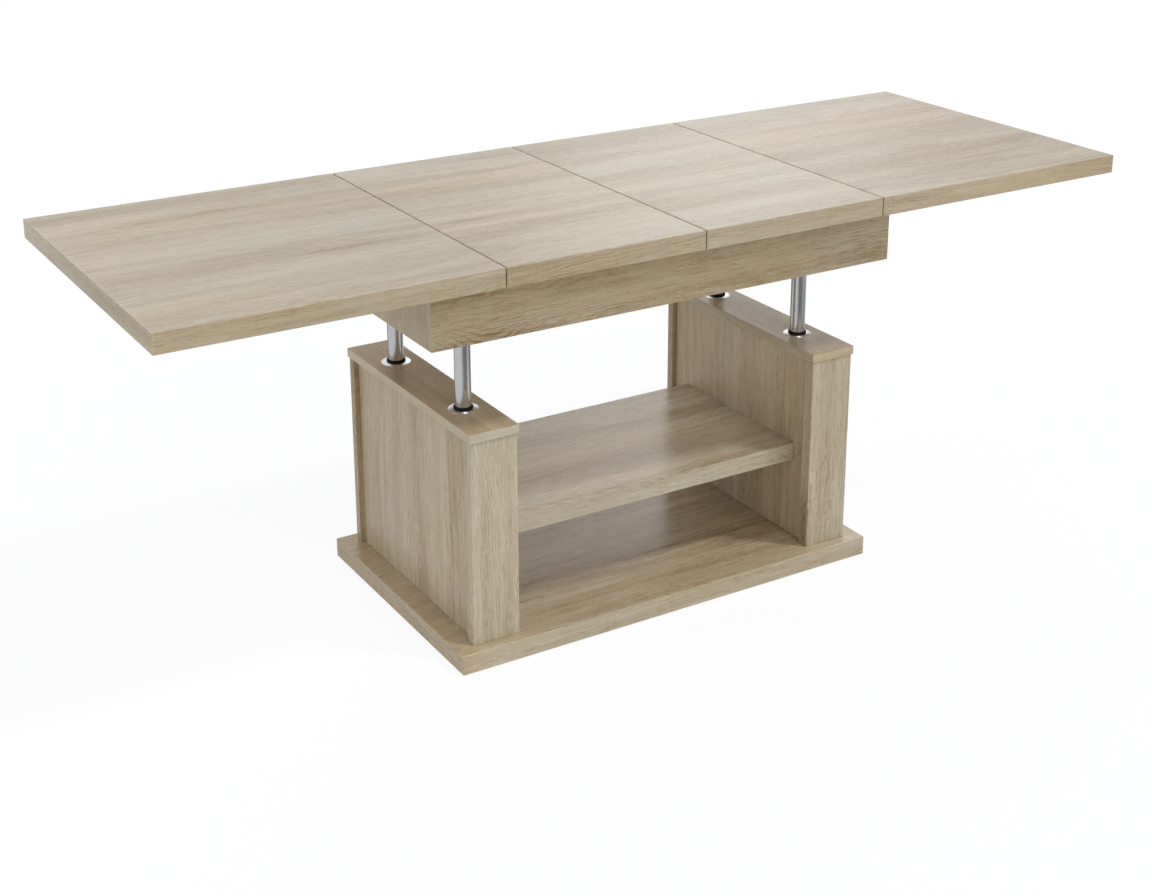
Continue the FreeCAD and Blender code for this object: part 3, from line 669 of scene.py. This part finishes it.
def rounded_board(name, low, high, radius):
    """A box with rounded edges: p = c + r (q - c) / |q - c|.

    Here q runs over the sharp box's six faces, on lines that meet the rounding every 15 degrees, and c is
    the nearest point to q of the core, the box drawn in by r. Points shared by two faces are made one.
    """
    low, high = np.array(low), np.array(high)
    bend = radius * (1.0 - np.tan(np.radians([45.0, 30.0, 15.0, 0.0])))
    flat = 2.0 * radius
    starts = np.concatenate([bend, [flat]])
    sheets, faces, count = [], [], 0
    for axis in range(3):
        first, second = (axis + 1) % 3, (axis + 2) % 3
        lines = [np.concatenate([low[k] + starts, high[k] - starts[::-1]]) for k in (first, second)]
        across, along = np.meshgrid(*lines, indexing="ij")
        index = np.arange(across.size).reshape(across.shape)
        quads = np.stack([index[:-1, :-1], index[1:, :-1], index[1:, 1:], index[:-1, 1:]], -1)
        quads = quads.reshape(-1, 4)
        for side, order in ((high, quads), (low, quads[:, ::-1])):
            sheet = np.empty(across.shape + (3,))
            sheet[..., first], sheet[..., second], sheet[..., axis] = across, along, side[axis]
            sheets.append(sheet.reshape(-1, 3))
            faces.append(order + count)
            count += across.size
    sharp = np.concatenate(sheets)
    core = np.clip(sharp, low + radius, high - radius)
    away = sharp - core
    places = core + radius * away / np.linalg.norm(away, axis=1, keepdims=True)
    places, order = np.unique(np.round(places, 7), axis=0, return_inverse=True)
    piece = new_piece(name, places, order.reshape(-1)[np.concatenate(faces)])
    piece.data.shade_smooth()
    return piece


panel_rounding = 0.0014
panel_looks = {
    "left_top": dict(shift=(1.3, 0.1, 0.4), tone=(-0.10, -0.2), flames_and_painted_light=left_flames, blush=left_blush),
    "left_insert": dict(shift=(2.9, 0.6, 1.3), tone=(-0.08, -0.1), flames_and_painted_light=left_insert_flames,
                        blush=left_insert_blush),
    "right_insert": dict(shift=(0.2, 1.5, 2.4), tone=(-0.11, -0.2)),
    "right_top": dict(shift=(1.8, 2.2, 0.9), tone=(-0.15, 0.2), flames_and_painted_light=right_flames, blush=right_blush),
}
for body, look in panel_looks.items():
    board = rounded_board("laminate_" + body, *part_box(body + "_panel"), panel_rounding)
    panel_oak = oak("oak_" + body, "x", "z", figure=0.3, streak=0.4, fine=1.0,
                    edging=(0.05, 0.0, -0.1), **look)
    board.data.materials.append(panel_oak)
    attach(board, body)
    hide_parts(body + "_panel")
dress(["left_insert_pegs", "right_insert_pegs"], beech_wood)

# Floor and surroundings: a wide white floor that keeps a light shadow of the table, and white all round.
# Gloss and metal also see dark cloths on the floor and dark curtains, as they would in a studio.
floor_half = 14.0
corners = np.array([[-1.0, -1.0, 0.0], [1.0, -1.0, 0.0], [1.0, 1.0, 0.0], [-1.0, 1.0, 0.0]])
studio_floor = new_piece("studio_floor", floor_half * corners, np.array([[0, 1, 2, 3]]))


def by_ray(tree, bounced, mirrored, seen):
    """One shader for light that bounces, one for mirrors and clear matter, and one for the camera."""
    path = tree.nodes.new("ShaderNodeLightPath").outputs
    clear = maths(tree, "MAXIMUM", path["Is Glossy Ray"], path["Is Transmission Ray"])
    unseen = shade(tree, "MixShader", clear, bounced.outputs[0], mirrored.outputs[0])
    return shade(tree, "MixShader", path["Is Camera Ray"], unseen.outputs[0], seen.outputs[0]).outputs[0]


floor_paint = bpy.data.materials.new("floor_paint")
floor_paint.use_nodes = True
floor_tree = floor_paint.node_tree
floor_tree.nodes.clear()
dark_cloths = [
    ((0.0, -1.90, 0.0), (1.70, 1.05, 1.0), -1.4),
    ((1.60, -0.80, 0.0), (1.20, 1.40, 1.0), -0.4),
    ((0.0, 1.90, 0.0), (1.70, 1.05, 1.0), -1.4),
]
bare_floor_glow, darkest_cloth = 0.62, 0.12
cloth_glow = soft_spots(floor_tree, own_place(floor_tree), dark_cloths, bare_floor_glow)
cloth_glow = maths(floor_tree, "MAXIMUM", cloth_glow, darkest_cloth)
bouncing = shade(floor_tree, "BsdfDiffuse", (0.88, 0.80, 0.68, 1.0))
mirrored_glow = shade(floor_tree, "Emission", (0.98, 0.99, 1.0, 1.0), cloth_glow)
glow = shade(floor_tree, "Emission", (0.989, 0.992, 1.0, 1.0), 0.90)
shadow_coat = shade(floor_tree, "BsdfDiffuse", (0.12, 0.12, 0.118, 1.0))
shown = shade(floor_tree, "AddShader", glow.outputs[0], shadow_coat.outputs[0])
floor_out = floor_tree.nodes.new("ShaderNodeOutputMaterial")
wire(floor_tree, floor_out.inputs["Surface"], by_ray(floor_tree, bouncing, mirrored_glow, shown))
studio_floor.data.materials.append(floor_paint)

world = bpy.data.worlds.new("studio")
world.use_nodes = True
sky_tree = world.node_tree
sky_tree.nodes.clear()
direction = sky_tree.nodes.new("ShaderNodeTexCoord").outputs["Generated"]
dark_curtains = [
    ((0.15, -1.0, 0.10), (0.75, 0.75, 0.45), -1.2),
    ((-0.80, 0.60, 0.0), (0.45, 0.45, 0.30), -0.9),
    ((-0.55, -0.80, 0.25), (0.60, 0.60, 0.55), -1.0),
]
bare_wall_glow, darkest_curtain = 0.92, 0.10
curtain_glow = soft_spots(sky_tree, direction, dark_curtains, bare_wall_glow)
curtain_glow = maths(sky_tree, "MAXIMUM", curtain_glow, darkest_curtain)
white = (1.0, 1.0, 1.0, 1.0)
dome = shade(sky_tree, "Background", white, 0.33)
sheen = shade(sky_tree, "Background", white, curtain_glow)
backdrop = shade(sky_tree, "Background", white, 1.0)
sky_out = sky_tree.nodes.new("ShaderNodeOutputWorld")
wire(sky_tree, sky_out.inputs["Surface"], by_ray(sky_tree, dome, sheen, backdrop))
bpy.context.scene.world = world

# Lights: a key high on the front right, whose pillar and shelf shadows fall back and to the left, with
# broad fills from the front, the left and the back, and two small windows low at the back.


def sun(name, azimuth, elevation, strength, width):
    """Parallel white light from an azimuth right of the front and a height above the floor, in degrees.

    It comes from (sin a cos e, -cos a cos e, sin e), and its disc is width degrees wide.
    """
    lamp = bpy.data.lights.new(name, "SUN")
    lamp.energy = strength
    lamp.angle = math.radians(width)
    holder = bpy.data.objects.new(name, lamp)
    turn, rise = math.radians(azimuth), math.radians(elevation)
    towards = Vector((math.sin(turn) * math.cos(rise), -math.cos(turn) * math.cos(rise), math.sin(rise)))
    holder.rotation_euler = towards.to_track_quat("Z", "Y").to_euler()
    bpy.context.scene.collection.objects.link(holder)
    return holder


sun("key_light", azimuth=44.0, elevation=58.0, strength=1.05, width=7.0)
sun("front_fill", azimuth=0.0, elevation=35.0, strength=0.73, width=40.0)
sun("left_fill", azimuth=-95.0, elevation=15.0, strength=0.78, width=60.0)
back_fill = sun("back_fill", azimuth=166.0, elevation=38.0, strength=0.58, width=40.0)
back_fill.visible_glossy = False
sun("window_light", azimuth=143.9, elevation=18.0, strength=0.032, width=13.0)
sun("upper_window_light", azimuth=142.0, elevation=27.0, strength=0.024, width=11.0)

# Camera: a lens of about 57 mm, to the left of the table's front and above its top, with the view moved
# down the picture as far as the framing needs.
image_width, image_height = 1152, 896
focal_pixels = 1817.0
horizon_row = 260.0
camera_place = (-1.7648, -2.8303, 1.6992)
turn_degrees, dip_degrees, roll_degrees = -31.1252, 17.7696, -0.1429
lens = bpy.data.cameras.new("view")
lens.sensor_width = 36.0
lens.lens = focal_pixels / image_width * lens.sensor_width
lens.shift_y = (horizon_row - 0.5 * image_height) / image_width
viewer = bpy.data.objects.new("view", lens)
turn = Matrix.Rotation(math.radians(turn_degrees), 4, "Z")
tilt = Matrix.Rotation(math.radians(90.0 - dip_degrees), 4, "X")
roll = Matrix.Rotation(math.radians(roll_degrees), 4, "Z")
viewer.matrix_world = Matrix.Translation(camera_place) @ turn @ tilt @ roll
bpy.context.scene.collection.objects.link(viewer)
bpy.context.scene.camera = viewer
bpy.context.scene.view_settings.view_transform = "Standard"
